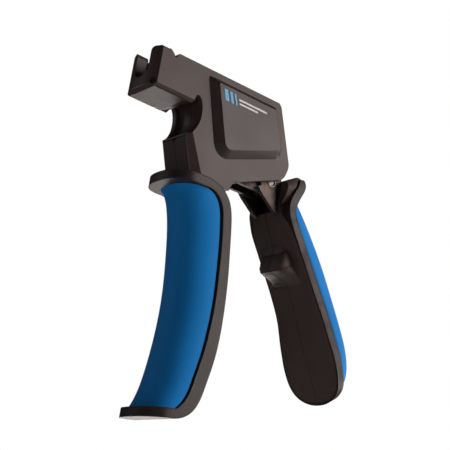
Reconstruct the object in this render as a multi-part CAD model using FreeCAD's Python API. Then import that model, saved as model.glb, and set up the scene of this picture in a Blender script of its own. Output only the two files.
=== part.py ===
import FreeCAD, Part
import math
import os

os.makedirs("parts", exist_ok=True)
V = FreeCAD.Vector

# ---------------------------------------------------------------- frame
# mm. Nose face at the front (-X), grip lever at the back (+X), up is +Z.
# The origin is on the anchor screw's axis, level with the nose corners.
# Parting plane of every moulded pair is Y = 0; "left" is -Y.

# ---------------------------------------------------------------- sizes
BODY_W = 12.0          # half width of the gun body
WALL_Y = 9.3           # half width of the room inside it
NOSE_TOP = 9.2
NOSE_BOT = -10.2
KEEL_W = 10.3
KEEL_BOT = -11.6
SLOT_W = 5.5           # half width of the U slot in the nose
NOSE_X = -0.6          # nose corners
NOSE_BULGE = 3.4       # nose face at the middle, from X = 0
PANEL_T = 3.8          # how far the side panel stands off the body
GRIP_W = 16.0          # half width of both handle rims
PAD_W = 15.0           # half width of both soft pads
CORE_W = 9.4           # half width of the hard core inside each handle
BAND_T = 4.2           # lever rim thickness

BAR_W = 3.5            # draw bar half width and half height
CHAS_IN = 3.9          # chassis plates, inner and outer face
CHAS_OUT = 5.9
ARM_IN = 6.25          # lever plates, inner and outer face
ARM_OUT = 8.25

PIN_R = 2.5            # pivot pin and drive pin
RUN_FIT = 0.05         # radial play of a turning fit
PIVOT = (78.1, -31.3)
DRIVE = (57.6, -12.0)  # drive pin at rest
STROKE = 11.5          # draw bar travel
SWING = 28.0           # lever travel, degrees
RATIO = STROKE / math.radians(SWING)

LEAN = math.radians(35.0)   # lever axis, back from straight down
AX = (math.sin(LEAN), -math.cos(LEAN))
NX = (math.cos(LEAN), math.sin(LEAN))


# ---------------------------------------------------------------- helpers
def line_or_spline(pts, y):
    vs = [V(p[0], y, p[1]) for p in pts]
    if len(vs) == 2:
        return Part.LineSegment(vs[0], vs[1]).toShape()
    c = Part.BSplineCurve()
    c.interpolate(vs)
    return c.toShape()


def outline(segs, y):
    """Closed XZ wire from runs of points; a run of two is a line."""
    edges = []
    for seg in segs:
        edges.append(line_or_spline(seg, y))
    return Part.Wire(edges)


def runs(*parts):
    """Join runs end to end and close the loop with straight lines."""
    out = []
    n = len(parts)
    for i, p in enumerate(parts):
        if len(p) > 1:
            out.append(p)
        q = parts[(i + 1) % n]
        a, b = p[-1], q[0]
        if math.hypot(a[0] - b[0], a[1] - b[1]) > 1e-6:
            out.append([a, b])
    return out


def prism(segs, y0, y1):
    f = Part.Face(outline(segs, y0))
    return f.extrude(V(0, y1 - y0, 0))


def poly(pts, y0, y1):
    vs = [V(p[0], y0, p[1]) for p in pts]
    vs.append(vs[0])
    f = Part.Face(Part.makePolygon(vs))
    return f.extrude(V(0, y1 - y0, 0))


def box(x0, x1, y0, y1, z0, z1):
    return Part.makeBox(x1 - x0, y1 - y0, z1 - z0, V(x0, y0, z0))


def ycyl(r, x, z, y0, y1):
    return Part.makeCylinder(r, y1 - y0, V(x, y0, z), V(0, 1, 0))


def both(f, y0, y1):
    """Mirror pair of a prism maker."""
    return f(y0, y1), f(-y1, -y0)


def fuse(shapes):
    s = shapes[0]
    if len(shapes) > 1:
        s = s.multiFuse(shapes[1:])
    return s.removeSplitter()


def half(shape, side):
    big = 400.0
    if side < 0:
        b = box(-big, big, -big, 0, -big, big)
    else:
        b = box(-big, big, 0, big, -big, big)
    return shape.common(b)


def superhalf(w, d, n, steps=14):
    """Half of a rounded box: (across, depth) points from -w to +w."""
    out = []
    for i in range(steps + 1):
        a = -math.pi / 2 + math.pi * i / steps
        c, s = math.cos(a), math.sin(a)
        y = w * math.copysign(abs(s) ** (2 / n), s)
        out.append((y, d * abs(c) ** (2 / n)))
    out[0] = (-w, 0.0)
    out[-1] = (w, 0.0)
    return out


def lerp(table, x):
    """Smooth look-up in a table of (x, value)."""
    if x <= table[0][0]:
        return table[0][1]
    for i in range(len(table) - 1):
        x0, v0 = table[i]
        x1, v1 = table[i + 1]
        if x <= x1:
            return v0 + (v1 - v0) * (x - x0) / (x1 - x0)
    return table[-1][1]


def on_lever(s, t):
    """Lever axes: s down the handle from the pivot, t towards its back."""
    return (PIVOT[0] + s * AX[0] + t * NX[0],
            PIVOT[1] + s * AX[1] + t * NX[1])


def lever_pts(pts):
    return [on_lever(s, t) for s, t in pts]


def capsule(p, q, rp, rq, y0, y1):
    """Hull of two circles, extruded along Y."""
    dx, dz = q[0] - p[0], q[1] - p[1]
    d = math.hypot(dx, dz)
    a = math.atan2(dz, dx)
    b = math.acos((rp - rq) / d)
    pts = []
    for ang in (a + b, a - b):
        pts.append((math.cos(ang), math.sin(ang)))
    quad = [(p[0] + rp * pts[0][0], p[1] + rp * pts[0][1]),
            (q[0] + rq * pts[0][0], q[1] + rq * pts[0][1]),
            (q[0] + rq * pts[1][0], q[1] + rq * pts[1][1]),
            (p[0] + rp * pts[1][0], p[1] + rp * pts[1][1])]
    return fuse([ycyl(rp, p[0], p[1], y0, y1),
                 ycyl(rq, q[0], q[1], y0, y1), poly(quad, y0, y1)])


made = {}


def keep(name, shape):
    made[name] = shape
    shape.exportStep("parts/" + name + ".step")


# ---------------------------------------------------------------- gun body
recess = [(22.1, NOSE_BOT), (22.4, -8.0), (23.4, -7.0), (24.6, -7.1),
          (25.9, -8.7), (26.9, -11.4), (27.3, -15.0), (26.8, -19.8),
          (24.9, -24.0), (23.7, -26.1)]
ear = [(2.4, NOSE_TOP), (4.0, 8.9), (5.6, 7.9), (6.5, 6.9), (7.1, 6.2)]
tail = [(84.4, -20.0), (84.5, -22.5), (83.7, -25.6), (82.6, -28.0),
        (80.8, -29.9)]
body_side = runs(
    ear, [(7.9, 6.2)], [(8.7, 8.4), (9.5, 8.7)], [(72.9, 8.9), (74.6, 7.2)],
    tail, [(51.8, -41.2)], [(50.2, -46.2)], [(38.6, -46.2)],
    [(25.4, -26.9)],
    recess[::-1], [(-NOSE_BULGE, NOSE_BOT)], [(-NOSE_BULGE, NOSE_TOP)])
body = prism(body_side, -BODY_W, BODY_W)

# nose underside: keel between two beads, each bored at the front
keel = poly([(-NOSE_BULGE, NOSE_BOT + 0.5), (-NOSE_BULGE, KEEL_BOT),
             (17.5, KEEL_BOT), (20.0, -11.0), (21.5, NOSE_BOT + 0.5)],
            -KEEL_W, KEEL_W)
beads = []
for s in (-1, 1):
    beads.append(Part.makeCylinder(2.1, 22.7, V(-1.4, s * 9.7, -9.4),
                                   V(1, 0, 0)))
body = fuse([body, keel] + beads)

# nose face bows forward
sag = NOSE_BULGE + NOSE_X
bow = (BODY_W ** 2 + sag ** 2) / (2 * sag)
drum = Part.makeCylinder(bow, 60, V(bow - NOSE_BULGE, 0, -30), V(0, 0, 1))
front = box(-9, 8, -20, 20, -30, 30).cut(drum)
body = body.cut(front)
# under edge of the nose face rolls back
roll = poly([(-9, -20), (0.8, -20), (0.8, KEEL_BOT - 0.01),
             (-0.6, KEEL_BOT), (-2.4, -10.2), (-9, -9.4)], -20, 20)
body = body.cut(roll)

# neck: flat front, sides sloping out to the body walls


def neck_wire(z, x0, x1, x2):
    pts = [(x0, -9.3), (x1, -BODY_W), (x2, -BODY_W), (x2, BODY_W),
           (x1, BODY_W), (x0, 9.3)]
    vs = [V(x, y, z) for x, y in pts]
    return Part.makePolygon(vs + vs[:1])


neck = Part.makeLoft([neck_wire(-17.0, 27.9, 28.4, 34.0),
                      neck_wire(-21.0, 26.2, 26.9, 35.0),
                      neck_wire(-24.1, 24.2, 25.3, 36.0),
                      neck_wire(-26.3, 21.7, 24.0, 37.0),
                      neck_wire(-46.2, 28.4, 33.6, 42.0)], True, True)
body = fuse([body, neck])
hollow_mid = ycyl(17.0, 13.0, -15.6, -9.0, 9.0)
hollow_mid = hollow_mid.common(box(22.0, 40.0, -20, 20, -27.6, -7.4))
body = body.cut(hollow_mid)
# seam notch at the top of the neck
notch = Part.makeCone(1.9, 0.2, 4.2, V(21.2, 0, -27.4), V(0.35, 0, -1))
body = body.cut(notch)

# hard core of the fixed handle
spine_in = [(36.0, -50.4), (40.6, -51.6), (43.9, -54.6), (45.9, -59.0),
            (47.2, -66.0), (48.3, -75.0), (49.2, -87.0), (49.8, -100.0),
            (49.3, -114.0), (47.8, -127.0), (45.4, -138.5), (42.6, -148.5),
            (38.0, -154.2)]
core_front = [(33.0, -46.0), (36.6, -60.0), (39.4, -76.0), (41.0, -94.0),
              (41.0, -110.0), (39.6, -126.0), (37.0, -140.0),
              (34.0, -154.6)]
core_back = [(40.0, -156.0), (44.0, -147.0), (46.6, -137.0), (48.6, -127.0),
             (50.2, -114.0), (50.8, -100.0), (50.2, -87.0), (49.3, -75.0),
             (48.2, -66.0), (47.4, -60.0), (47.0, -53.0), (48.6, -46.0)]
handle = prism(runs(core_front, core_back), -CORE_W, CORE_W)
body = fuse([body, handle])

# room inside
room = poly([(3.4, -7.6), (19.6, -7.6), (20.6, -4.4), (28.2, -4.4),
             (30.6, -8.0), (31.2, -15.0), (30.2, -21.0), (28.2, -26.5),
             (32.0, -37.0), (35.0, -44.0), (45.5, -44.0), (48.5, -39.6),
             (56.5, -36.8), (57.4, -44.0), (90.0, -36.0), (90.0, -19.0),
             (81.2, -19.0), (71.9, 6.5), (3.4, 6.5)], -WALL_Y, WALL_Y)
grip_room = poly([(35.5, -43.9), (45.5, -43.9), (45.0, -58.0),
                  (46.6, -76.0), (47.6, -94.0), (47.4, -112.0),
                  (45.2, -130.0), (41.0, -150.0), (37.5, -150.0),
                  (41.6, -130.0), (43.4, -110.0), (43.2, -94.0),
                  (41.8, -76.0), (39.2, -61.0)], -6.4, 6.4)
hopper = box(3.4, 13.0, -WALL_Y + 1.1, WALL_Y - 1.1, 0, 20)
slot = fuse([box(-9, 4, -SLOT_W, SLOT_W, 0, 20),
             Part.makeCylinder(SLOT_W, 13, V(-9, 0, 0), V(1, 0, 0))])
body = body.cut(fuse([room, hopper, slot]))
body = body.cut(grip_room)
for s in (-1, 1):
    body = body.cut(Part.makeCylinder(1.5, 9.0, V(-4.0, s * 9.4, -9.0),
                                      V(1, 0, 0)))
# slot corners at the top of each ear are rounded over
for s in (-1, 1):
    c = box(-5, 3.4, min(s * 5.4, s * 7.6), max(s * 5.4, s * 7.6), 7.0, 10)
    c = c.cut(Part.makeCylinder(2.2, 12, V(-6, s * 7.7, 7.0), V(1, 0, 0)))
    body = body.cut(c)
    c = box(-5, 3.4, min(s * 10.9, s * 13), max(s * 10.9, s * 13), 8.1, 10)
    c = c.cut(Part.makeCylinder(1.1, 12, V(-6, s * 10.9, 8.1), V(1, 0, 0)))
    body = body.cut(c)

# ribs down the finger hollow
ribs = []
for s in (-1, 1):
    for y in (9.9, 11.3):
        ribs.append(box(27.8, 30.4, s * y - 0.4, s * y + 0.4, -20.0, -10.0))
body = fuse([body] + ribs)

# ---------------------------------------------------------------- screws
screw_at = [(14.0, -9.95, 9.9), (44.0, -21.0, 11.2), (45.6, -37.6, 11.2),
            (69.6, 3.9, 11.2)]
SCREW_R = 1.25
HEAD_R = 1.8
BOSS_R = 2.4
bosses = []
for x, z, y in screw_at[1:]:
    bosses.append(ycyl(BOSS_R, x, z, -10.5, 10.5))
body = fuse([body] + bosses)
screws = []
for x, z, y in screw_at:
    shank = ycyl(SCREW_R, x, z, -8.0, y - 1.5)
    head = ycyl(HEAD_R, x, z, y - 1.5, y)
    drive = box(x - 0.35, x + 0.35, y - 0.8, y + 1, z - 1.5, z + 1.5)
    cross = box(x - 1.5, x + 1.5, y - 0.8, y + 1, z - 0.35, z + 0.35)
    screws.append(fuse([shank, head]).cut(fuse([drive, cross])))
    body = body.cut(fuse([ycyl(SCREW_R, x, z, -8.0, y - 1.5),
                          ycyl(HEAD_R, x, z, y - 1.5, 14.0)]))
keep("housing_screws", Part.makeCompound(screws))


# ---------------------------------------------------------------- panels
def round_poly(pts, radii, y, steps=6):
    """Closed wire through corners, each eased by an arc of points."""
    out = []
    n = len(pts)
    for i in range(n):
        p, a, b = pts[i], pts[i - 1], pts[(i + 1) % n]
        ua = (a[0] - p[0], a[1] - p[1])
        ub = (b[0] - p[0], b[1] - p[1])
        la, lb = math.hypot(*ua), math.hypot(*ub)
        ua = (ua[0] / la, ua[1] / la)
        ub = (ub[0] / lb, ub[1] / lb)
        ang = math.acos(ua[0] * ub[0] + ua[1] * ub[1])
        d = radii[i] / math.tan(ang / 2)
        m = (ua[0] + ub[0], ua[1] + ub[1])
        lm = math.hypot(*m)
        h = radii[i] / math.sin(ang / 2)
        c = (p[0] + m[0] / lm * h, p[1] + m[1] / lm * h)
        s = (p[0] + ua[0] * d, p[1] + ua[1] * d)
        e = (p[0] + ub[0] * d, p[1] + ub[1] * d)
        a0 = math.atan2(s[1] - c[1], s[0] - c[0])
        a1 = math.atan2(e[1] - c[1], e[0] - c[0])
        while a1 - a0 > math.pi:
            a1 -= 2 * math.pi
        while a1 - a0 < -math.pi:
            a1 += 2 * math.pi
        mid = (a0 + a1) / 2
        k = (c[0] + radii[i] * math.cos(mid), c[1] + radii[i] * math.sin(mid))
        out.append((s, k, e))
    edges = []
    for i in range(n):
        s, k, e = out[i]
        edges.append(Part.Arc(V(s[0], y, s[1]), V(k[0], y, k[1]),
                              V(e[0], y, e[1])).toShape())
        q = out[(i + 1) % n][0]
        edges.append(Part.LineSegment(V(e[0], y, e[1]),
                                      V(q[0], y, q[1])).toShape())
    return Part.Wire(edges)


panel_out = [(27.4, 5.6), (39.1, -34.2), (79.4, -19.4), (70.9, 5.6)]
panel_in = [(31.8, 2.4), (41.8, -29.2), (75.4, -16.9), (68.8, 2.4)]
for name, s in (("side_panel_left", -1), ("side_panel_right", 1)):
    w0 = round_poly(panel_out, [1.2, 7.5, 4.5, 1.2], s * BODY_W)
    w1 = round_poly(panel_in, [0.8, 4.0, 2.0, 0.8], s * (BODY_W + PANEL_T))
    keep(name, Part.makeLoft([w0, w1], True, True))


# ------------------------------------------------------- printed stripes
def stripes(cells, y0, y1):
    return [poly([(x, z), (x + w, z), (x + w + h * 0.35, z - h),
                  (x + h * 0.35, z - h)], y0, y1) for x, z, w, h in cells]


blue_cells = [(35.0, 0.4, 2.2, 5.4), (38.6, 0.4, 1.5, 5.4),
              (41.5, 0.4, 0.9, 5.4)]
pale_cells = [(44.6, -1.2, 18.0, 0.9), (45.2, -3.1, 12.0, 0.9)]
T0, T1 = BODY_W + PANEL_T, BODY_W + PANEL_T + 0.12
keep("stripes_blue", Part.makeCompound(
    stripes(blue_cells, -T1, -T0) + stripes(blue_cells, T0, T1)))
keep("stripes_pale", Part.makeCompound(
    stripes(pale_cells, -T1, -T0) + stripes(pale_cells, T0, T1)))

# ------------------------------------------------------ fixed grip frame
spine_out = [(36.0, -45.7), (41.2, -47.0), (45.4, -49.4), (48.4, -52.6),
             (50.6, -57.4), (52.0, -64.4), (53.3, -75.0), (54.7, -88.0),
             (55.5, -103.0), (55.4, -117.0), (54.2, -129.0),
             (51.8, -140.4), (49.4, -149.0), (46.4, -154.0),
             (42.6, -157.0), (38.0, -158.7)]
band = runs([(14.0, -45.7)], spine_out, [(21.0, -160.6)], [(20.0, -158.0)],
            [(20.4, -156.2)], spine_in[::-1], [(14.0, -50.4)])
band = prism(band, -GRIP_W - 2, GRIP_W + 2)


def plan_prism(x0, length, w, n, z0, z1, x1=70.0):
    """Rounded-front plan outline, extruded up."""
    pts = []
    steps = 18
    for i in range(steps + 1):
        a = -math.pi / 2 + math.pi * i / steps
        c, s = math.cos(a), math.sin(a)
        y = w * math.copysign(abs(s) ** (2 / n), s)
        pts.append(V(x0 + length * (1 - abs(c) ** (2 / n)), y, z0))
    pts[0] = V(x0 + length, -w, z0)
    pts[-1] = V(x0 + length, w, z0)
    c = Part.BSplineCurve()
    c.interpolate(pts)
    e = [c.toShape(),
         Part.LineSegment(pts[-1], V(x1, w, z0)).toShape(),
         Part.LineSegment(V(x1, w, z0), V(x1, -w, z0)).toShape(),
         Part.LineSegment(V(x1, -w, z0), pts[0]).toShape()]
    return Part.Face(Part.Wire(e)).extrude(V(0, 0, z1 - z0))


collar_plan = plan_prism(17.4, 11.0, GRIP_W, 2.3, -70.0, -40.0)
foot_plan = plan_prism(24.2, 11.0, GRIP_W, 2.3, -170.0, -140.0)
spine_plan = box(30, 70, -GRIP_W, GRIP_W, -140.0, -70.0)
frame = band.common(fuse([collar_plan, foot_plan, spine_plan]))
frame = frame.cut(handle).cut(body)
frame = max(frame.Solids, key=lambda q: q.Volume)
keep("grip_frame", frame)


# --------------------------------------------------------- front soft pad
def z_section(z, x_back, w, d, n):
    """Pad section in a level plane, bulging to -X."""
    pts = [V(x_back - b, a, z) for a, b in superhalf(w, d, n)]
    c = Part.BSplineCurve()
    c.interpolate(pts)
    flat = Part.LineSegment(pts[-1], pts[0]).toShape()
    return Part.Wire([c.toShape(), flat])


front_depth = [(-155.4, 10.2), (-148.0, 11.8), (-138.0, 13.2),
               (-126.0, 14.3), (-110.0, 14.9), (-95.0, 15.6), (-80.0, 16.5),
               (-68.0, 16.8), (-58.0, 17.0), (-54.0, 17.2), (-50.4, 13.2)]
back_line = [(p[1], p[0]) for p in spine_in[::-1]]
stations = [-155.4, -152.0, -146.0, -138.0, -128.0, -116.0, -104.0, -92.0,
            -80.0, -70.0, -62.0, -56.0, -52.5, -50.4]
sections = []
for z in stations:
    back = lerp(back_line, z) if z > -154.2 else 38.0
    if z > -51.0:
        back = 38.0
    elif z > -53.0:
        back = 40.5
    sections.append(z_section(z, back, PAD_W, lerp(front_depth, z)
                              + (back - lerp(back_line, z)
                                 if z > -53.0 else 0.0), 2.35))
pad = Part.makeLoft(sections, True, False)
pad = pad.cut(band).cut(handle)
keep("front_grip_pad", pad)

# -------------------------------------------------- nose plate and chassis
anvil = poly([(3.4, -7.6), (4.6, -7.6), (4.6, 6.0), (3.4, 6.0)],
             -8.6, 8.6)
anvil = anvil.cut(fuse([
    box(0, 9, -SLOT_W + 0.9, SLOT_W - 0.9, 0, 20),
    Part.makeCylinder(SLOT_W - 0.9, 9, V(0, 0, 0), V(1, 0, 0))]))
keep("nose_anvil", anvil)

guide = box(34.9, 38.9, -WALL_Y, WALL_Y, -12.0, 6.5)
guide = guide.cut(box(30, 42, -BAR_W - 0.06, BAR_W + 0.06,
                      -BAR_W - 0.06, BAR_W + 0.06))
keep("bar_guide", guide)

chas_pts = [(38.9, 5.8), (67.2, 5.8), (75.2, -17.0), (78.8, -25.6),
            (82.6, -28.6), (83.5, -32.4), (81.6, -36.2), (77.6, -37.5),
            (58.6, -37.5), (54.4, -33.4), (40.4, -28.0), (38.9, -24.0)]
travel = fuse([ycyl(PIN_R + 0.06, DRIVE[0], DRIVE[1], -20, 20),
               ycyl(PIN_R + 0.06, DRIVE[0] + STROKE, DRIVE[1], -20, 20),
               box(DRIVE[0], DRIVE[0] + STROKE, -20, 20,
                   DRIVE[1] - PIN_R - 0.06, DRIVE[1] + PIN_R + 0.06)])
holes = [travel, ycyl(PIN_R, PIVOT[0], PIVOT[1], -20, 20)]
for x, z, y in screw_at[1:3]:
    holes.append(ycyl(BOSS_R, x, z, -20, 20))
spacer_at = [(62.0, -31.5), (50.0, -27.0), (73.6, -24.5)]
for x, z in spacer_at:
    holes.append(ycyl(1.5, x, z, -20, 20))
holes = fuse(holes)
keep("chassis_plate_left", poly(chas_pts, -CHAS_OUT, -CHAS_IN).cut(holes))
keep("chassis_plate_right", poly(chas_pts, CHAS_IN, CHAS_OUT).cut(holes))
spacers = []
for x, z in spacer_at:
    spacers.append(fuse([ycyl(2.6, x, z, -CHAS_IN, CHAS_IN),
                         ycyl(1.5, x, z, -CHAS_OUT, CHAS_OUT)]))
keep("chassis_spacers", Part.makeCompound(spacers))

# pivot pin with coned ends
pin = ycyl(PIN_R, PIVOT[0], PIVOT[1], -8.7, 8.7)
for s in (-1, 1):
    pin = pin.cut(Part.makeCone(1.5, 2.1, 0.4,
                                V(PIVOT[0], s * 8.3, PIVOT[1]),
                                V(0, s, 0)))
keep("pivot_pin", pin)

# ---------------------------------------------------------------- draw bar
SPRING_Z = 1.6
bar = poly([(16.0, -BAR_W), (45.0, -BAR_W), (52.6, -16.6), (61.6, -16.6),
            (62.4, -12.0), (61.6, -7.4), (54.0, -7.4), (48.6, -3.4),
            (46.5, -3.4), (46.5, BAR_W), (16.0, BAR_W)], -BAR_W, BAR_W)
nub = Part.makeCylinder(2.4, 3.2, V(46.5, 0, SPRING_Z - 0.6), V(1, 0, 0))
bar = fuse([bar, nub])
bar = bar.cut(ycyl(PIN_R, DRIVE[0], DRIVE[1], -20, 20))
for x in (18.0, 21.0):
    bar = bar.cut(ycyl(1.25, x, 0.0, -20, 20))

jaw = box(4.9, 8.2, -7.6, 7.6, -6.6, 5.4)
jaw = fuse([jaw, box(8.2, 23.2, -7.6, 7.6, -4.0, 5.4)])
jaw = jaw.cut(box(8.2, 15.4, -5.6, 5.6, -5.0, 20))
jaw = jaw.cut(fuse([box(0, 8.3, -3.6, 3.6, 0, 20),
                    Part.makeCylinder(3.6, 8.3, V(0, 0, 0), V(1, 0, 0))]))
jaw = jaw.cut(box(16.0, 30.0, -BAR_W, BAR_W, -BAR_W, BAR_W))
jaw_pins = []
for x in (18.0, 21.0):
    jaw_pins.append(ycyl(1.25, x, 0.0, -7.6, 7.6))
    jaw = jaw.cut(ycyl(1.25, x, 0.0, -20, 20))
keep("screw_jaw", jaw)
keep("jaw_pins", Part.makeCompound(jaw_pins))
keep("draw_bar", bar)

dpin = ycyl(PIN_R, DRIVE[0], DRIVE[1], -9.0, 9.0)
grooves = []
clips = []
for s in (-1, 1):
    y0, y1 = sorted((s * 8.55, s * 8.95))
    y0, y1 = y0, y1
    ring = ycyl(PIN_R, DRIVE[0], DRIVE[1], y0, y1).cut(
        ycyl(2.0, DRIVE[0], DRIVE[1], y0, y1))
    grooves.append(ring)
    clip = ycyl(4.1, DRIVE[0], DRIVE[1], y0, y1).cut(
        ycyl(2.0, DRIVE[0], DRIVE[1], y0, y1))
    clip = clip.cut(box(DRIVE[0] - 1.3, DRIVE[0] + 1.3, -20, 20,
                        DRIVE[1] + 1.0, DRIVE[1] + 6))
    clips.append(clip)
dpin = dpin.cut(fuse(grooves))
keep("drive_pin", dpin)
keep("drive_pin_clips", Part.makeCompound(clips))

# ---------------------------------------------------------- return spring
SPRING_X0 = 46.5
SPRING_X1 = 66.2
WIRE = 0.5
TURNS = 5
seat = box(SPRING_X1, 68.6, -3.8, 3.8, -3.0, 6.5)
seat = fuse([seat, Part.makeCylinder(2.4, 4.0,
                                     V(SPRING_X1 - 4.0, 0, SPRING_Z - 0.6),
                                     V(1, 0, 0))])
seat = seat.cut(fuse(bosses))
keep("spring_seat", seat)
L = SPRING_X1 - SPRING_X0 - 2 * WIRE
helix = Part.makeHelix(L / TURNS, L, 3.1)
prof = Part.Wire([Part.makeCircle(WIRE, V(3.1, 0, 0), V(0, 1, 0))])
coil = Part.Wire(helix).makePipeShell([prof], True, True)
coil.rotate(V(0, 0, 0), V(0, 1, 0), 90)
coil.translate(V(SPRING_X0 + WIRE, 0, SPRING_Z - 0.6))
keep("return_spring", coil)

# ---------------------------------------------------------------- lever
knee = on_lever(17.0, 3.2)
tang = on_lever(70.0, 2.4)


def arm_shape(y0, y1):
    return fuse([capsule(PIVOT, DRIVE, 6.2, 5.2, y0, y1),
                 capsule(PIVOT, knee, 6.6, 5.4, y0, y1),
                 capsule(knee, tang, 5.4, 4.2, y0, y1),
                 poly([(70.4, -36.0), (73.4, -38.8), (80.9, -44.2),
                       (84.0, -45.8), (88.0, -47.4), (90.0, -42.0),
                       (78.0, -31.3)], y0, y1)])


# cam slot: the drive pin's path seen from the lever
cam = []
CAM_N = 12
for i in range(CAM_N + 1):
    th = math.radians(SWING) * (i / CAM_N * 1.08 - 0.04)
    x = DRIVE[0] + RATIO * th - PIVOT[0]
    z = DRIVE[1] - PIVOT[1]
    cam.append((PIVOT[0] + x * math.cos(th) - z * math.sin(th),
                PIVOT[1] + x * math.sin(th) + z * math.cos(th)))
CAM_R = PIN_R + 0.12
left, right = [], []
for i, p in enumerate(cam):
    q0 = cam[max(i - 1, 0)]
    q1 = cam[min(i + 1, CAM_N)]
    dx, dz = q1[0] - q0[0], q1[1] - q0[1]
    d = math.hypot(dx, dz)
    left.append((p[0] - dz / d * CAM_R, p[1] + dx / d * CAM_R))
    right.append((p[0] + dz / d * CAM_R, p[1] - dx / d * CAM_R))
cam_cut = fuse([prism(runs(left, right[::-1]), -20, 20),
                ycyl(CAM_R, cam[0][0], cam[0][1], -20, 20),
                ycyl(CAM_R, cam[-1][0], cam[-1][1], -20, 20)])
rivet_at = [on_lever(30.0, 2.8), on_lever(48.0, 2.6), on_lever(66.0, 2.4)]
RIVET_R = 1.6
rivet_holes = fuse([ycyl(RIVET_R, x, z, -20, 20) for x, z in rivet_at])
arm_cut = fuse([cam_cut, rivet_holes,
                ycyl(PIN_R + RUN_FIT, PIVOT[0], PIVOT[1], -20, 20)])
arm_l = arm_shape(-ARM_OUT, -ARM_IN).cut(arm_cut)
arm_r = arm_shape(ARM_IN, ARM_OUT).cut(arm_cut)
keep("lever_plate_left", arm_l)
keep("lever_plate_right", arm_r)
spacer = poly(lever_pts([(22.0, -1.6), (22.0, 7.0), (70.0, 6.0),
                         (73.0, 2.4), (70.0, -1.0)]), -ARM_IN, ARM_IN)
spacer = spacer.cut(rivet_holes)
keep("lever_spacer", spacer)
rivets = [ycyl(RIVET_R, x, z, -ARM_OUT, ARM_OUT) for x, z in rivet_at]
keep("lever_rivets", Part.makeCompound(rivets))


def s_section(s, t_flat, w, d, n):
    """Section square to the lever axis; d > 0 bulges to its back."""
    pts = []
    for a, b in superhalf(w, d, n):
        x, z = on_lever(s, t_flat + b)
        pts.append(V(x, a, z))
    c = Part.BSplineCurve()
    c.interpolate(pts)
    flat = Part.LineSegment(pts[-1], pts[0]).toShape()
    return Part.Wire([c.toShape(), flat])


def lever_plan(inset, t0, t1, round_top=True):
    """Paddle outline of the lever seen from behind, extruded in t."""
    k = (S_END - 94.0 - inset) / (S_END - 94.0)
    foot = []
    for s, w in PADDLE:
        foot.append((s if s <= 94.0 else 94.0 + (s - 94.0) * k,
                     w * (PAD_MAX - inset) / PAD_MAX))
    ends = [foot + [(s, -w) for s, w in foot[-2::-1]]]
    top = [(s + inset, w * (PAD_MAX - inset) / PAD_MAX) for s, w in CROWN]
    if round_top:
        ends.append([(s, -w) for s, w in top[::-1]] + top[1:])
    e = []
    for run in ends:
        vs = []
        for s, y in run:
            x, z = on_lever(s, t0)
            vs.append(V(x, y, z))
        c = Part.BSplineCurve()
        c.interpolate(vs)
        e.append(c.toShape())
    a, b = e[0].Vertexes[0].Point, e[0].Vertexes[-1].Point
    if round_top:
        c, d = e[1].Vertexes[0].Point, e[1].Vertexes[-1].Point
    else:
        x, z = on_lever(-14.0, t0)
        c, d = V(x, b.y, z), V(x, a.y, z)
        e.append(Part.LineSegment(c, d).toShape())
    e = [e[0], Part.LineSegment(b, c).toShape(), e[1],
         Part.LineSegment(d, a).toShape()]
    h = t1 - t0
    return Part.Face(Part.Wire(e)).extrude(V(h * NX[0], 0, h * NX[1]))


S_END = 114.5
PAD_MAX = 19.2
# half width of the lever: (s, y)
PADDLE = [(36.0, 15.7), (50.0, 15.8), (62.0, 16.1), (72.0, 16.9),
          (81.0, 18.0), (88.0, 18.8), (94.0, PAD_MAX), (99.0, 18.9),
          (104.0, 17.9), (108.2, 15.7), (111.4, 12.1), (113.4, 7.7),
          (114.3, 3.6), (S_END, 0.0)]
CROWN = [(-1.0, 0.0), (-0.9, 5.0), (-0.5, 9.0), (0.6, 12.2), (2.6, 14.3),
         (5.6, 15.3), (10.0, 15.7), (22.0, 15.7)]
# back and front face of the rim: (s, t)
rim_out = [(36.0, 1.6), (50.0, 1.5), (62.0, 1.2), (72.0, 0.5),
           (81.0, -1.0), (90.0, -2.2), (99.0, -3.5), (107.0, -4.5),
           (116.0, -5.7)]
rim_in = [(s, t - BAND_T) for s, t in rim_out]


def wide(s):
    return lerp(PADDLE, s)


# front cover of the lever core
cover_front = [(14.0, -3.0), (16.0, -3.6), (20.0, -4.4), (26.0, -4.8),
               (34.0, -4.7), (44.0, -4.4), (54.0, -4.2), (62.0, -4.7),
               (70.0, -5.6), (78.0, -6.7), (85.0, -7.5), (91.0, -8.0),
               (99.0, -8.6), (107.0, -9.1), (116.0, -9.7)]
cover_wide = [(14.0, 9.8), (17.0, 11.2), (21.0, 12.8), (28.0, 14.3),
              (36.0, 14.8)]
secs = []
for s in (14.0, 17.0, 21.0, 28.0, 38.0, 50.0, 60.0, 70.0, 80.0, 90.0,
          100.0, 107.0, 116.0):
    base = lerp(rim_in, s) + 0.4
    t = min(lerp(cover_front, s) - base, -0.35)
    w = lerp(cover_wide, s) if s < 36.0 else wide(min(s, 94.0)) - 0.9
    secs.append(s_section(s, base, w, t, 2.7))
cover = Part.makeLoft(secs, True, False)
cover = cover.common(lever_plan(0.9, -24, 10, False))
deep = prism(runs(lever_pts([(17.0, -3.0), (60.0, -3.4), (75.0, -4.4),
                             (90.0, -6.2), (101.0, -7.5)]),
                  lever_pts([(103.0, -4.0)]), lever_pts([(100.0, 1.5)]),
                  lever_pts([(90.0, 4.5)]), lever_pts([(60.0, 9.0)]),
                  lever_pts([(24.0, 9.4)]), lever_pts([(17.0, 7.6)])),
             -CORE_W, CORE_W)
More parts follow.
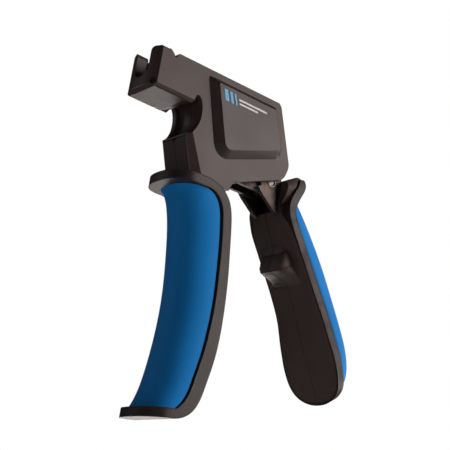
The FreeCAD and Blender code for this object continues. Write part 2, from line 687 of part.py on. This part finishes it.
# finger stop
secs = []
for s, w, t in ((29.0, 8.2, -4.0), (32.0, 8.5, -5.2), (35.0, 8.9, -7.4),
                (37.6, 9.2, -10.4), (39.8, 9.4, -12.2), (42.2, 9.6, -12.3),
                (44.6, 9.9, -10.2), (47.2, 10.4, -7.2), (50.4, 10.8, -5.0),
                (55.0, 11.0, -3.2)):
    secs.append(s_section(s, -2.4, w, t + 2.4, 5.5))
bump = Part.makeLoft(secs, True, True)
if bump.Volume < 0:
    bump.reverse()
# cheeks that carry the horn
cheek = prism(runs([(83.8, -29.4), (87.6, -26.8), (91.0, -25.4),
                    (93.0, -26.0)],
                   [(94.0, -28.6), (93.2, -33.0), (91.2, -38.4),
                    (90.4, -43.0), (92.2, -48.0)],
                   lever_pts([(22.0, -3.0)]), [(84.2, -44.8)],
                   [(83.8, -40.0)], [(84.4, -36.4)]), -16.0, 16.0)
cheek = cheek.common(fuse([
    box(70, 110, -CORE_W - 0.5, CORE_W + 0.5, -60, -10),
    poly([(80.0, -20.0), (100.0, -20.0), (100.0, -45.4), (90.6, -44.6),
          (86.6, -41.0), (84.6, -37.0), (80.0, -35.0)], -13.4, 13.4),
    poly([(80.0, -20.0), (90.2, -20.0), (90.0, -27.0), (89.4, -30.0),
          (87.9, -33.4), (86.0, -37.2), (85.2, -41.0), (80.0, -41.0)],
         -15.1, 15.1)]))
for s in (-1, 1):
    vs = [V(78, s * 15.2, -31.5), V(78, s * 9.7, -46.0),
          V(78, s * 25, -46.0), V(78, s * 25, -31.5), V(78, s * 15.2, -31.5)]
    cheek = cheek.cut(Part.Face(Part.makePolygon(vs)).extrude(V(24, 0, 0)))

throat = poly([(80.0, -24.0), (89.8, -30.5), (89.6, -37.0), (87.6, -42.6),
               (86.4, -46.6), (80.0, -50.0)], -ARM_OUT - 0.25,
              ARM_OUT + 0.25)
core = fuse([cover, deep, bump, cheek.cut(throat).common(
    lever_plan(0.4, -30, 30))])
core = core.cut(arm_shape(-ARM_OUT, -ARM_IN))
core = core.cut(arm_shape(ARM_IN, ARM_OUT))
core = core.cut(poly(lever_pts([(22.0, -1.6), (22.0, 7.0), (70.0, 6.0),
                                (73.0, 2.4), (70.0, -1.0)]),
                     -ARM_IN, ARM_IN))
hollow = poly(lever_pts([(77.0, -4.8), (77.0, 3.5), (95.0, 0.5),
                         (95.0, -6.0)]), -6.4, 6.4)
core = core.cut(hollow)

# rim with its horn
rim_back = [(93.2, -26.2), (94.4, -28.0), (94.6, -30.4), (93.2, -34.4),
            (91.4, -38.8), (90.6, -43.0), (91.4, -47.0)]
rim_back = rim_back + lever_pts([(26.0, 1.6), (36.0, 1.6)])
rim_front = lever_pts([(36.0, 1.6 - BAND_T), (26.0, 1.8 - BAND_T),
                       (19.0, 2.6 - BAND_T)])
rim_front = rim_front + [(86.2, -42.2), (87.0, -37.6), (89.2, -33.0),
                         (90.6, -29.6)]
rim = prism(runs(rim_back, lever_pts(rim_out), lever_pts(rim_in[::-1]),
                 rim_front, [(91.0, -26.6)]), -GRIP_W - 4, GRIP_W + 4)
rim = rim.common(lever_plan(0.0, -34, 34))
arms = fuse([arm_shape(-ARM_OUT, -ARM_IN), arm_shape(ARM_IN, ARM_OUT)])
rim = rim.cut(deep).cut(cheek).cut(cover).cut(bump).cut(arms)
rim = max(rim.Solids, key=lambda q: q.Volume)
keep("lever_rim", rim)

# rear soft pad
rear_face = [(10.0, 10.8), (12.0, 11.2), (16.0, 12.2), (22.0, 13.4),
             (32.0, 14.7), (44.0, 15.5), (56.0, 15.5), (68.0, 14.5),
             (80.0, 13.0), (90.0, 11.3), (98.0, 9.0), (104.0, 6.4),
             (108.0, 3.6), (112.0, -1.0)]
secs = []
for s in (12.0, 16.0, 22.0, 30.0, 40.0, 52.0, 64.0, 76.0, 86.0, 94.0,
          100.0, 105.0, 109.0, 112.0):
    back = lerp(rim_out, s) - 0.4
    secs.append(s_section(s, back, wide(min(s, 94.0)) - 1.0,
                          lerp(rear_face, s) - back, 2.35))
rear = Part.makeLoft(secs, True, False)
rear = rear.common(lever_plan(1.2, -24, 44, False))
rear = rear.cut(prism(runs(rim_back, lever_pts(rim_out),
                           lever_pts([(116.0, -24.0)]), [(70.0, -40.0)],
                           [(80.0, -10.0)]), -GRIP_W - 4, GRIP_W + 4))
rear = rear.cut(deep).cut(cheek).cut(arms)
rear = max(rear.Solids, key=lambda q: q.Volume)
keep("rear_grip_pad", rear)

core = core.cut(rim)
keep("lever_core_left", half(core, -1))
keep("lever_core_right", half(core, 1))

body = body.cut(guide).cut(seat).cut(fuse([
    poly(chas_pts, -CHAS_OUT, -CHAS_IN), poly(chas_pts, CHAS_IN, CHAS_OUT)]
).cut(holes))
keep("housing_left", half(body, -1))
keep("housing_right", half(body, 1))

for k in sorted(made):
    s = made[k]
    b = s.BoundBox
    print("%-22s %8.1f mm3 solids %d valid %s  x %.1f %.1f y %.1f %.1f"
          " z %.1f %.1f" % (k, s.Volume, len(s.Solids), s.isValid(),
                            b.XMin, b.XMax, b.YMin, b.YMax, b.ZMin, b.ZMax))
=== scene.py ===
import bpy
import math
from mathutils import Matrix, Vector


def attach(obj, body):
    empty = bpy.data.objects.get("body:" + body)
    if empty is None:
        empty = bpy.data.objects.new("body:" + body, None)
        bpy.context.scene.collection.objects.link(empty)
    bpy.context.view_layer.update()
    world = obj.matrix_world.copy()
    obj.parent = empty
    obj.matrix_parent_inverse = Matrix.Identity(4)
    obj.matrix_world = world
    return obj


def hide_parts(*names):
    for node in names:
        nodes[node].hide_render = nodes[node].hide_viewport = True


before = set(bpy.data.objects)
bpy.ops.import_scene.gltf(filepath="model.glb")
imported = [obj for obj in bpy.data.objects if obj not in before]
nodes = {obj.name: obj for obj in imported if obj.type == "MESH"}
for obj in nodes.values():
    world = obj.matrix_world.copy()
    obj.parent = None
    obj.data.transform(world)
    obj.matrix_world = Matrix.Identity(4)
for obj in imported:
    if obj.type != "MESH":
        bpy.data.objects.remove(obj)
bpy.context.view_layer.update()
scene = bpy.context.scene
MM = 0.001


# ------------------------------------------------------------- node helpers
class Mat:
    """A node material with a Principled shader and short ways to add nodes."""

    def __init__(self, name):
        self.m = bpy.data.materials.new(name)
        self.m.use_nodes = True
        self.t = self.m.node_tree
        self.b = self.t.nodes["Principled BSDF"]
        self.co = self.add("ShaderNodeTexCoord").outputs["Object"]

    def add(self, kind, **props):
        n = self.t.nodes.new(kind)
        for k, v in props.items():
            setattr(n, k, v)
        return n

    def put(self, socket, value):
        if isinstance(value, bpy.types.NodeSocket):
            self.t.links.new(value, socket)
        else:
            socket.default_value = value

    def noise(self, scale, detail=2.0, rough=0.5, stretch=None):
        n = self.add("ShaderNodeTexNoise")
        src = self.co
        if stretch:
            mp = self.add("ShaderNodeMapping")
            mp.inputs["Scale"].default_value = stretch
            self.put(mp.inputs["Vector"], src)
            src = mp.outputs[0]
        self.put(n.inputs["Vector"], src)
        n.inputs["Scale"].default_value = scale
        n.inputs["Detail"].default_value = detail
        n.inputs["Roughness"].default_value = rough
        return n.outputs["Fac"]

    def math(self, op, a, b=None, c=None, clamp=False):
        n = self.add("ShaderNodeMath", operation=op, use_clamp=clamp)
        for i, v in enumerate((a, b, c)):
            if v is not None:
                self.put(n.inputs[i], v)
        return n.outputs[0]

    def ramp(self, src, lo, hi, out0=0.0, out1=1.0):
        n = self.add("ShaderNodeMapRange", clamp=True)
        self.put(n.inputs["Value"], src)
        for k, v in (("From Min", lo), ("From Max", hi), ("To Min", out0),
                     ("To Max", out1)):
            n.inputs[k].default_value = v
        return n.outputs["Result"]

    def mix(self, fac, a, b):
        n = self.add("ShaderNodeMix", data_type="RGBA")
        self.put(n.inputs[0], fac)
        for i, v in ((6, a), (7, b)):
            self.put(n.inputs[i], (*v, 1.0) if isinstance(v, tuple) else v)
        return n.outputs[2]

    def bump(self, height, dist, strength=1.0, normal=None):
        n = self.add("ShaderNodeBump")
        n.inputs["Strength"].default_value = strength
        n.inputs["Distance"].default_value = dist
        self.put(n.inputs["Height"], height)
        if normal is not None:
            self.put(n.inputs["Normal"], normal)
        return n.outputs["Normal"]

    def rounded(self, radius):
        n = self.add("ShaderNodeBevel", samples=4)
        n.inputs["Radius"].default_value = radius
        return n.outputs["Normal"]

    def edges(self, radius):
        """0 on open faces, rising along edges."""
        g = self.add("ShaderNodeNewGeometry").outputs["Normal"]
        d = self.add("ShaderNodeVectorMath", operation="DOT_PRODUCT")
        self.put(d.inputs[0], self.rounded(radius))
        self.put(d.inputs[1], g)
        return self.math("SUBTRACT", 1.0, d.outputs["Value"], clamp=True)

    def seam(self, half_width):
        """1 in a hairline along the parting plane Y = 0."""
        s = self.add("ShaderNodeSeparateXYZ")
        self.put(s.inputs[0], self.co)
        d = self.math("ABSOLUTE", s.outputs["Y"])
        return self.ramp(d, half_width * 0.5, half_width, 1.0, 0.0)


def plastic(name, dark, lit, rough, seam=0.0, grain=1.0, ease=0.0005):
    """Moulded glass-filled nylon.

    Spark-eroded grain, faint flow marks, edges polished by handling.
    """
    k = Mat(name)
    fine = k.noise(2600.0, 3.0, 0.6)
    cloud = k.noise(45.0, 3.0, 0.55)
    wear = k.ramp(k.edges(0.0006), 0.02, 0.35)
    col = k.mix(k.ramp(cloud, 0.3, 0.7), dark, lit)
    col = k.mix(k.ramp(fine, 0.35, 0.75, 0.0, 0.35), col,
                tuple(v * 0.72 for v in dark))
    col = k.mix(k.math("MULTIPLY", wear, 0.35), col,
                tuple(v * 1.7 for v in lit))
    if seam:
        line = k.seam(seam)
        col = k.mix(k.math("MULTIPLY", line, 0.8), col,
                    tuple(v * 0.2 for v in dark))
        height = k.math("SUBTRACT", k.math("MULTIPLY", fine, 0.12), line)
        nrm = k.bump(height, 0.00012, 0.6, k.rounded(ease))
    else:
        nrm = k.bump(fine, 0.00002 * grain, 0.5, k.rounded(ease))
    k.put(k.b.inputs["Base Color"], col)
    r = k.math("ADD", k.ramp(cloud, 0.25, 0.75, rough - 0.04, rough + 0.04),
               k.ramp(fine, 0.3, 0.7, -0.03, 0.05))
    k.put(k.b.inputs["Roughness"], k.math("SUBTRACT", r, k.math(
        "MULTIPLY", wear, 0.1)))
    k.put(k.b.inputs["Normal"], nrm)
    k.b.inputs["Specular IOR Level"].default_value = 0.28
    return k.m


def soft(name, dark, lit, rough):
    """Overmoulded rubber: matte and finely grained, in two close tones."""
    k = Mat(name)
    fine = k.noise(1900.0, 4.0, 0.65)
    pores = k.noise(5200.0, 2.0, 0.5)
    cloud = k.noise(38.0, 3.0, 0.5)
    col = k.mix(k.ramp(cloud, 0.3, 0.7), dark, lit)
    col = k.mix(k.ramp(fine, 0.4, 0.75, 0.0, 0.22), col,
                tuple(v * 0.7 for v in dark))
    k.put(k.b.inputs["Base Color"], col)
    k.put(k.b.inputs["Roughness"],
          k.math("ADD", k.ramp(cloud, 0.25, 0.75, rough - 0.05, rough + 0.05),
                 k.ramp(pores, 0.3, 0.7, -0.02, 0.04)))
    h = k.math("ADD", fine, k.math("MULTIPLY", pores, 0.5))
    k.put(k.b.inputs["Normal"], k.bump(h, 0.00003, 0.5))
    k.b.inputs["Sheen Weight"].default_value = 0.04
    k.b.inputs["Sheen Roughness"].default_value = 0.5
    k.b.inputs["Specular IOR Level"].default_value = 0.12
    return k.m


def steel(name, dark, lit, rough, stretch, spots=0.0):
    """Pressed or turned steel.

    Grain lines one way, darker blotches of the black finish, bright edges.
    """
    k = Mat(name)
    lines = k.noise(900.0, 3.0, 0.6, stretch)
    cloud = k.noise(120.0, 3.0, 0.6)
    col = k.mix(k.ramp(lines, 0.3, 0.7), dark, lit)
    if spots:
        col = k.mix(k.ramp(cloud, 0.45, 0.7, 0.0, spots), col,
                    tuple(v * 0.35 for v in dark))
    wear = k.ramp(k.edges(0.0004), 0.02, 0.3)
    col = k.mix(k.math("MULTIPLY", wear, 0.6), col, (0.5, 0.48, 0.46))
    k.put(k.b.inputs["Base Color"], col)
    k.put(k.b.inputs["Roughness"], k.math("ADD", k.ramp(
        lines, 0.3, 0.7, rough - 0.06, rough + 0.06), k.ramp(
            cloud, 0.3, 0.7, -0.03, 0.06)))
    k.put(k.b.inputs["Normal"], k.bump(lines, 0.00001, 0.4,
                                       k.rounded(0.00025)))
    k.b.inputs["Metallic"].default_value = 1.0
    return k.m


def ink(name, colour, chips):
    """Pad-printed ink: thin, a little uneven, worn through in specks."""
    k = Mat(name)
    specks = k.noise(2400.0, 3.0, 0.6)
    cloud = k.noise(260.0, 2.0, 0.5)
    col = k.mix(k.ramp(cloud, 0.3, 0.7), colour,
                tuple(v * 0.86 for v in colour))
    col = k.mix(k.ramp(specks, 0.66, 0.74, 0.0, chips), col,
                (0.05, 0.045, 0.042))
    k.put(k.b.inputs["Base Color"], col)
    k.put(k.b.inputs["Roughness"], k.ramp(specks, 0.3, 0.7, 0.36, 0.5))
    k.put(k.b.inputs["Normal"], k.bump(specks, 0.00001, 0.4))
    return k.m


NYLON_DARK, NYLON_LIT = (0.058, 0.0385, 0.0345), (0.070, 0.0465, 0.0420)
shell = plastic("nylon_shell", NYLON_DARK, NYLON_LIT, 0.42, seam=0.00016)
smooth = plastic("nylon_panel", (0.036, 0.0235, 0.0205),
                 (0.045, 0.0295, 0.0260), 0.38)
rim_mat = plastic("nylon_rim", (0.026, 0.0175, 0.0155),
                  (0.034, 0.0230, 0.0205), 0.46, grain=1.5, ease=0.0011)
lever_mat = plastic("nylon_lever", (0.068, 0.0465, 0.0420),
                    (0.084, 0.0575, 0.0525), 0.5, seam=0.00016, ease=0.0016)
inner = plastic("acetal_black", (0.012, 0.011, 0.010), (0.02, 0.018, 0.017),
                0.5)
grip_blue = soft("soft_blue", (0.007, 0.225, 0.64), (0.010, 0.250, 0.69),
                 0.62)
black_steel = steel("steel_black", (0.060, 0.047, 0.042),
                    (0.095, 0.077, 0.070), 0.5, (1.0, 1.0, 9.0), 0.5)
plain_steel = steel("steel_plain", (0.30, 0.285, 0.275),
                    (0.46, 0.445, 0.43), 0.34, (9.0, 1.0, 1.0))
pin_steel = steel("steel_pin", (0.085, 0.074, 0.070), (0.15, 0.135, 0.128),
                  0.34, (1.0, 7.0, 1.0))
spring_steel = steel("steel_spring", (0.35, 0.345, 0.34),
                     (0.5, 0.49, 0.48), 0.3, (2.0, 2.0, 2.0))
screw_steel = steel("steel_screw", (0.09, 0.085, 0.08),
                    (0.16, 0.15, 0.145), 0.38, (3.0, 3.0, 3.0), 0.3)
ink_blue = ink("ink_blue", (0.055, 0.42, 0.76), 0.25)
ink_pale = ink("ink_pale", (0.70, 0.69, 0.68), 0.3)

finish = {
    "housing_left": shell, "housing_right": shell,
    "lever_core_left": lever_mat, "lever_core_right": lever_mat,
    "grip_frame": rim_mat, "lever_rim": rim_mat,
    "side_panel_left": smooth, "side_panel_right": smooth,
    "bar_guide": inner, "spring_seat": inner,
    "front_grip_pad": grip_blue, "rear_grip_pad": grip_blue,
    "chassis_plate_left": black_steel, "chassis_plate_right": black_steel,
    "lever_plate_left": black_steel, "lever_plate_right": black_steel,
    "lever_spacer": black_steel, "draw_bar": black_steel,
    "nose_anvil": plain_steel, "screw_jaw": plain_steel,
    "chassis_spacers": plain_steel, "jaw_pins": pin_steel,
    "pivot_pin": pin_steel, "drive_pin": pin_steel,
    "lever_rivets": pin_steel, "drive_pin_clips": spring_steel,
    "return_spring": spring_steel, "housing_screws": screw_steel,
    "stripes_blue": ink_blue, "stripes_pale": ink_pale,
}
for name, node in nodes.items():
    node.data.materials.clear()
    node.data.materials.append(finish[name])


# -------------------------------------------------------- rounded CAD edges
def ease_edges(node, width, segments=3, angle=32.0):
    """Weld the split CAD corners and round the sharp edges."""
    w = node.modifiers.new("weld", "WELD")
    w.merge_threshold = 0.00001
    b = node.modifiers.new("ease", "BEVEL")
    b.width = width
    b.segments = segments
    b.limit_method = "ANGLE"
    b.angle_limit = math.radians(angle)
    b.use_clamp_overlap = True
    b.harden_normals = False
    b.miter_outer = "MITER_ARC"


EDGE_WIDTHS = {"side_panel_left": 0.5, "side_panel_right": 0.5,
               "grip_frame": 0.8, "lever_rim": 0.5}
for name, width in EDGE_WIDTHS.items():
    ease_edges(nodes[name], width * MM)

# --------------------------------------------------------------- soft grips
GRIP_N = 2.35


def spline(table, x):
    """Smooth curve through (x, value) pairs."""
    n = len(table)
    if x <= table[0][0]:
        return table[0][1]
    if x >= table[-1][0]:
        return table[-1][1]
    i = 0
    while x > table[i + 1][0]:
        i += 1
    x0, v0 = table[i]
    x1, v1 = table[i + 1]

    def slope(j):
        a, b = max(j - 1, 0), min(j + 1, n - 1)
        return (table[b][1] - table[a][1]) / (table[b][0] - table[a][0])

    h = x1 - x0
    t = (x - x0) / h
    m0, m1 = slope(i) * h, slope(i + 1) * h
    return ((2 * t ** 3 - 3 * t ** 2 + 1) * v0 + (t ** 3 - 2 * t ** 2 + t)
            * m0 + (-2 * t ** 3 + 3 * t ** 2) * v1 + (t ** 3 - t ** 2) * m1)


def skin(name, rings, material, levels=1):
    """Closed quad skin over rings of equal length."""
    m = len(rings[0])
    verts = [Vector(p) * MM for r in rings for p in r]
    faces = []
    for i in range(len(rings) - 1):
        for j in range(m):
            k = (j + 1) % m
            faces.append((i * m + j, i * m + k, (i + 1) * m + k,
                          (i + 1) * m + j))
    for i, flip in ((0, True), (len(rings) - 1, False)):
        c = sum((verts[i * m + j] for j in range(m)), Vector()) / m
        verts.append(c)
        for j in range(m):
            k = (j + 1) % m
            tri = (i * m + j, i * m + k, len(verts) - 1)
            faces.append(tri[::-1] if flip else tri)
    me = bpy.data.meshes.new(name)
    me.from_pydata([tuple(v) for v in verts], [], faces)
    me.update()
    ob = bpy.data.objects.new(name, me)
    scene.collection.objects.link(ob)
    bpy.context.view_layer.objects.active = ob
    ob.select_set(True)
    bpy.ops.object.mode_set(mode="EDIT")
    bpy.ops.mesh.select_all(action="SELECT")
    bpy.ops.mesh.normals_make_consistent(inside=False)
    bpy.ops.object.mode_set(mode="OBJECT")
    ob.select_set(False)
    for p in me.polygons:
        p.use_smooth = True
    me.materials.append(material)
    if levels:
        s = ob.modifiers.new("smooth", "SUBSURF")
        s.levels = levels
        s.render_levels = levels
    return ob


def crowned(half_width, rise, steps, start=0.0):
    """(across, depth) round a soft crown, from one edge to the other.

    start trims both ends at that depth.
    """
    c0 = 0.0
    if start > 0.0:
        c0 = min(0.97, (start / rise) ** (GRIP_N / 2))
    a0 = math.acos(c0)
    out = []
    for i in range(steps + 1):
        a = -a0 + 2 * a0 * i / steps
        s, c = math.sin(a), max(math.cos(a), 0.0)
        out.append((half_width * math.copysign(abs(s) ** (2 / GRIP_N), s),
                    rise * c ** (2 / GRIP_N)))
    return out


PAD_HALF = 15.0
CROWN_STEPS = 26
SINK = 0.3      # how far a pad's edge sits into the hard face behind it
HIDDEN = 0.1    # its back lies this much deeper
# fixed handle: where the frame's inner face stands at each height
front_back = [(-158.5, 30.0), (-156.4, 34.0), (-154.2, 38.2),
              (-148.5, 42.7), (-138.5, 45.5), (-127.0, 47.9),
              (-114.0, 49.4), (-100.0, 49.9), (-87.0, 49.3), (-75.0, 48.4),
              (-66.0, 47.3), (-59.0, 46.0), (-54.6, 44.0), (-51.6, 40.7),
              (-50.2, 36.0)]
front_face = [(-156.4, 27.2), (-155.4, 27.6), (-152.0, 28.9),
              (-146.0, 30.7), (-138.0, 32.2), (-128.0, 33.4),
              (-116.0, 34.3), (-104.0, 34.5), (-92.0, 33.8), (-80.0, 32.4),
              (-70.0, 30.9), (-62.0, 29.2), (-56.0, 27.2), (-52.5, 25.4),
              (-50.9, 24.2), (-50.0, 23.0)]


def front_rings():
    """Level sections up the fixed handle's pad."""
    zs = [-156.3, -155.6, -154.6, -153.0]
    zs += [-151.0 + 4.0 * i for i in range(24)]
    zs += [-56.4, -54.2, -52.6, -51.4, -50.6, -50.1]
    rings = []
    for z in zs:
        xb = spline(front_back, z) + SINK
        xf = spline(front_face, z)
        ring = [(xb - d, y, z)
                for y, d in crowned(PAD_HALF, xb - xf, CROWN_STEPS)]
        ring += [(xb + HIDDEN, PAD_HALF * 0.5, z),
                 (xb + HIDDEN, -PAD_HALF * 0.5, z)]
        rings.append(ring)
    return rings


front_pad = skin("soft_front_grip", front_rings(), grip_blue)
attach(front_pad, "gun")
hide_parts("front_grip_pad")

# a lip of the same rubber stands on top of the collar, round the neck
LIP_X, LIP_DEEP, LIP_WIDE, LIP_STEPS = 28.5, 7.6, 11.6, 32


def lip_rings():
    """Half ellipses stacked from the collar's top upwards."""
    rings = []
    for z, grow in ((-45.9, 0.0), (-45.35, 0.1), (-45.1, -0.25)):
        ring = []
        for i in range(LIP_STEPS + 1):
            a = math.pi * i / LIP_STEPS - math.pi / 2
            ring.append((LIP_X - (LIP_DEEP + grow) * math.cos(a),
                         (LIP_WIDE + grow) * math.sin(a), z))
        rings.append(ring)
    return rings


front_lip = skin("soft_front_lip", lip_rings(), grip_blue, 0)
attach(front_lip, "gun")

# squeeze lever: s runs down the handle from the pivot, t to its back
LEAN = math.radians(35.0)
PIVOT = (78.1, -31.3)


def on_lever(s, t, y):
    return (PIVOT[0] + s * math.sin(LEAN) + t * math.cos(LEAN), y,
            PIVOT[1] - s * math.cos(LEAN) + t * math.sin(LEAN))


rim_face = [(10.6, 11.2), (11.2, 10.6), (13.8, 6.6), (16.8, 3.5),
            (20.5, 2.1), (26.0, 1.65), (36.0, 1.6), (50.0, 1.5),
            (62.0, 1.2), (72.0, 0.5), (81.0, -1.0), (90.0, -2.2),
            (99.0, -3.5), (107.0, -4.5), (116.0, -5.7)]
rear_face = [(10.6, 10.9), (12.0, 11.2), (16.0, 12.2), (22.0, 13.4),
             (32.0, 14.7), (44.0, 15.5), (56.0, 15.5), (68.0, 14.5),
             (80.0, 13.0), (90.0, 11.3), (98.0, 9.0), (104.0, 6.4),
             (107.5, 4.1), (110.0, 1.6), (111.8, -1.2), (113.0, -4.4)]
rear_half = [(10.0, 14.9), (36.0, 14.9), (62.0, 15.3), (72.0, 16.1),
             (81.0, 17.2), (88.0, 17.8), (94.0, 17.9), (99.5, 17.4),
             (103.6, 16.2), (107.2, 14.0), (109.9, 10.8), (111.6, 7.4),
             (112.6, 3.6), (113.0, 1.0)]
DEEPEST_BASE = 1.2


def rear_rings():
    """Sections square to the lever, down its pad."""
    ss = [11.5, 12.2, 13.2, 14.6, 16.4, 18.8, 22.0]
    ss += [26.0 + 4.0 * i for i in range(17)]
    ss += [93.0, 96.0, 99.0, 102.0, 104.6, 107.0, 109.0, 110.6, 111.6, 112.3]
    rings = []
    for s in ss:
        tb = spline(rim_face, s) - SINK
        tf = max(spline(rear_face, s), tb + SINK)
        base = min(tb, DEEPEST_BASE)
        ring = [on_lever(s, base + d, y)
                for y, d in crowned(spline(rear_half, s), tf - base,
                                    CROWN_STEPS, tb - base)]
        y0 = ring[-1][1]
        ring += [on_lever(s, tb - HIDDEN, y0 * 0.5),
                 on_lever(s, tb - HIDDEN, -y0 * 0.5)]
        rings.append(ring)
    return rings


rear_pad = skin("soft_rear_grip", rear_rings(), grip_blue)
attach(rear_pad, "lever")
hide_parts("rear_grip_pad")

# -------------------------------------------------------------------- stage
floor_mesh = bpy.data.meshes.new("floor")
FLOOR_X, FLOOR_Z, FLOOR_R, FLOOR_SIDES = 0.07, -0.46, 3.0, 64
disc = [(FLOOR_R * math.cos(2 * math.pi * i / FLOOR_SIDES) + FLOOR_X,
         FLOOR_R * math.sin(2 * math.pi * i / FLOOR_SIDES), FLOOR_Z)
        for i in range(FLOOR_SIDES)]
floor_mesh.from_pydata(disc, [], [tuple(range(FLOOR_SIDES))])
floor = bpy.data.objects.new("floor", floor_mesh)
scene.collection.objects.link(floor)
pale = Mat("pale_floor")
pale.put(pale.b.inputs["Base Color"], pale.mix(
    pale.noise(6.0), (0.86, 0.86, 0.86), (0.9, 0.9, 0.9)))
pale.b.inputs["Roughness"].default_value = 0.9
# seen directly the floor stays pale; it throws no extra light on the part
glow = pale.add("ShaderNodeEmission")
glow.inputs["Color"].default_value = (0.84, 0.84, 0.84, 1.0)
seen = pale.add("ShaderNodeLightPath").outputs["Is Camera Ray"]
blend = pale.add("ShaderNodeMixShader")
pale.put(blend.inputs[0], pale.math("MULTIPLY", seen, 0.7))
pale.put(blend.inputs[1], pale.b.outputs["BSDF"])
pale.put(blend.inputs[2], glow.outputs["Emission"])
pale.put(pale.t.nodes["Material Output"].inputs["Surface"],
         blend.outputs["Shader"])
floor_mesh.materials.append(pale.m)


def area_light(name, place, target, size, power, colour=(1, 1, 1)):
    d = bpy.data.lights.new(name, "AREA")
    d.shape = "DISK"
    d.size = size
    d.energy = power
    d.color = colour
    o = bpy.data.objects.new(name, d)
    scene.collection.objects.link(o)
    o.location = place
    aim = Vector(target) - Vector(place)
    o.rotation_euler = aim.to_track_quat("-Z", "Y").to_euler()
    return o


MIDDLE = (0.07, 0.0, -0.075)
area_light("key", (0.75, -0.95, 0.30), MIDDLE, 0.75, 10.2,
           (1.0, 0.925, 0.90))
area_light("side", (1.15, -0.25, -0.10), MIDDLE, 0.6, 4.5,
           (1.0, 0.93, 0.91))
area_light("rim", (-0.7, 0.75, 0.25), MIDDLE, 0.5, 0.6, (0.92, 0.95, 1.0))
area_light("fill", (-0.85, -0.45, -0.45), MIDDLE, 0.8, 1.5)
area_light("low", (0.25, -0.35, -1.15), MIDDLE, 0.8, 2.5)
area_light("sheen", (0.70, 0.93, -0.54), MIDDLE, 0.7, 7.0,
           (1.0, 0.93, 0.90))

scene.view_settings.view_transform = "Standard"
world = bpy.data.worlds.new("studio")
scene.world = world
world.use_nodes = True
wt = world.node_tree
bg = wt.nodes["Background"]
path = wt.nodes.new("ShaderNodeLightPath")
lvl = wt.nodes.new("ShaderNodeMapRange")
lvl.inputs["To Min"].default_value = 0.02
lvl.inputs["To Max"].default_value = 1.0
wt.links.new(path.outputs["Is Camera Ray"], lvl.inputs["Value"])
wt.links.new(lvl.outputs["Result"], bg.inputs["Strength"])
bg.inputs["Color"].default_value = (1.0, 1.0, 1.0, 1.0)

# ------------------------------------------------------------------- camera
lens = bpy.data.cameras.new("camera")
camera = bpy.data.objects.new("camera", lens)
scene.collection.objects.link(camera)
lens.sensor_width = 36.0
lens.lens = 92.0
lens.clip_start = 0.01
right = Vector((0.762, -0.63, 0.15)).normalized()
ahead = Vector((0.569, 0.762, 0.31)).normalized()
up = right.cross(ahead).normalized()
right = ahead.cross(up).normalized()
pose = Matrix((right, up, -ahead)).transposed().to_4x4()
pose.translation = Vector((-0.25809, -0.42603, -0.23185))
camera.matrix_world = pose
scene.camera = camera
